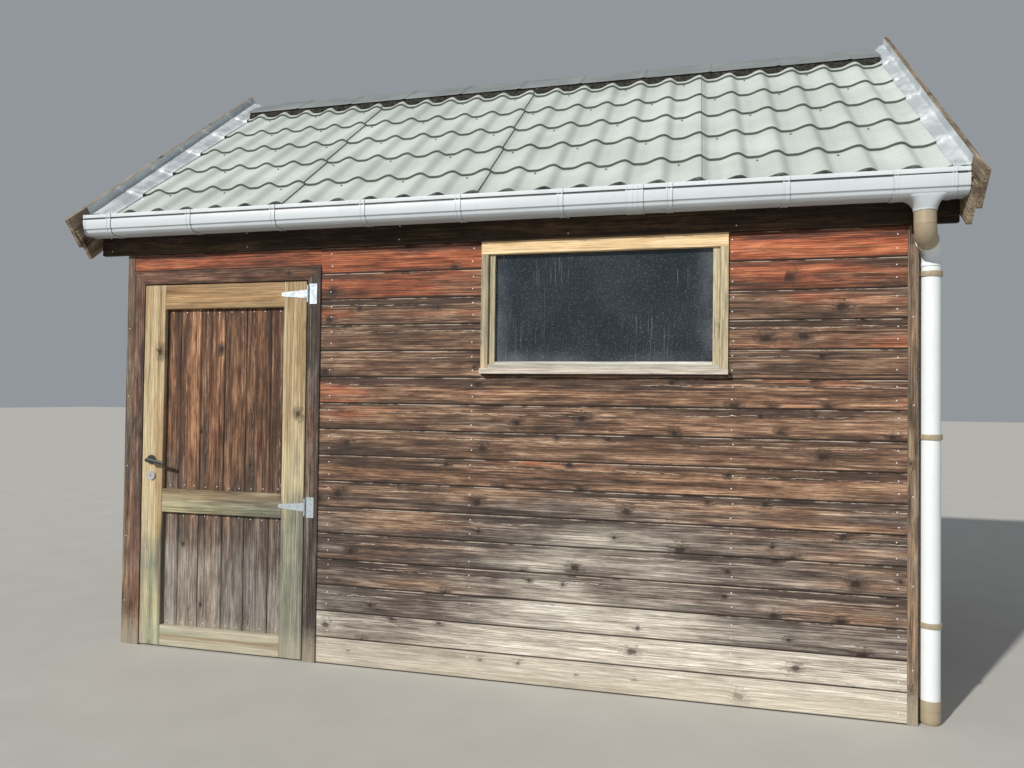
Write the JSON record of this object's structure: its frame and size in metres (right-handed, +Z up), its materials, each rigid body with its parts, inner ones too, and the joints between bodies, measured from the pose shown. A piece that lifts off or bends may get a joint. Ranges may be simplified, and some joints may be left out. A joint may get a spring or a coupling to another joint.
{
  "type": "wooden garden shed",
  "caption": "Board-clad timber shed with a pitched roof of tile-shaped sheets, a boarded door on T-hinges with a lever handle, a fixed window, gutters and downpipes.",
  "frame": {"origin": "on the ground, at the middle of the plan, under the ridge", "axes": "+X along the front to the right, +Y into the shed, +Z up"},
  "size_m": [4.596, 3.4828, 3.7762],
  "materials": {
    "cladding": "weathered red-brown stained bevel boards",
    "framing": "raw sawn softwood",
    "trim_boards": "weathered brown stain",
    "door_trim": "dark brown stain",
    "roof_boards": "weathered grey-brown raw timber",
    "door_frame": "greenish treated pine",
    "door_panels": "weathered brown boards",
    "window_wood": "greenish treated pine",
    "sill_wood": "weathered grey timber",
    "glass": "dusty clear pane",
    "roof_sheet": "pale grey-green coated steel",
    "ridge_metal": "grey coated steel",
    "flashing_metal": "bright sheet with white bloom",
    "gutter_plastic": "light grey",
    "pipe_plastic": "white",
    "fitting_plastic": "sand",
    "galvanised_steel": "galvanised",
    "plate_metal": "satin",
    "handle_metal": "black"
  },
  "bodies": {
    "shed": {"back_cladding": "cladding", "back_wall_frame": "framing", "corner_boards_left": "trim_boards", "corner_boards_right": "trim_boards", "door_head": "framing", "door_post": "framing", "door_trim_head": "door_trim", "door_trim_left": "door_trim", "door_trim_right": "door_trim", "downpipes": "pipe_plastic", "fascia_boards": "roof_boards", "front_cladding_middle": "cladding", "front_cladding_over_door": "cladding", "front_cladding_right": "cladding", "front_cladding_under_window": "cladding", "front_wall_frame": "framing", "gutter_bands": "gutter_plastic", "gutter_outlets": "gutter_plastic", "gutters": "gutter_plastic", "hinge_plates": "galvanised_steel", "inner_barge_left": "roof_boards", "inner_barge_right": "roof_boards", "left_gable_cladding": "cladding", "left_wall_frame": "framing", "outer_barge_left": "roof_boards", "outer_barge_right": "roof_boards", "pipe_fittings": "fitting_plastic", "purlins": "framing", "ridge_cap": "ridge_metal", "right_gable_cladding": "cladding", "right_wall_frame": "framing", "roof_sheets_back": "roof_sheet", "roof_sheets_front": "roof_sheet", "verge_flashing_left": "flashing_metal", "verge_flashing_right": "flashing_metal", "wall_beams": "framing", "window_frame": "window_wood", "window_glass": "glass", "window_sill": "sill_wood"},
    "door": {"door_stiles": "door_frame", "door_rails": "door_frame", "door_boards": "door_panels", "hinge_straps": "galvanised_steel", "lock_plates": "plate_metal"},
    "handle": {"door_handle": "handle_metal"}
  },
  "joints": [
    {"name": "door_hinge", "type": "hinge", "parent": "shed", "child": "door", "pos_m": [-0.93, -1.4945, 1.4], "axis": [0, 0, 1], "range_deg": [0, 110]},
    {"name": "handle_turn", "type": "hinge", "parent": "door", "child": "handle", "pos_m": [-1.905, -1.467, 1.062], "axis": [0, 1, 0], "range_deg": [0, 45], "stiffness_Nm_per_rad": 1.5}
  ]
}
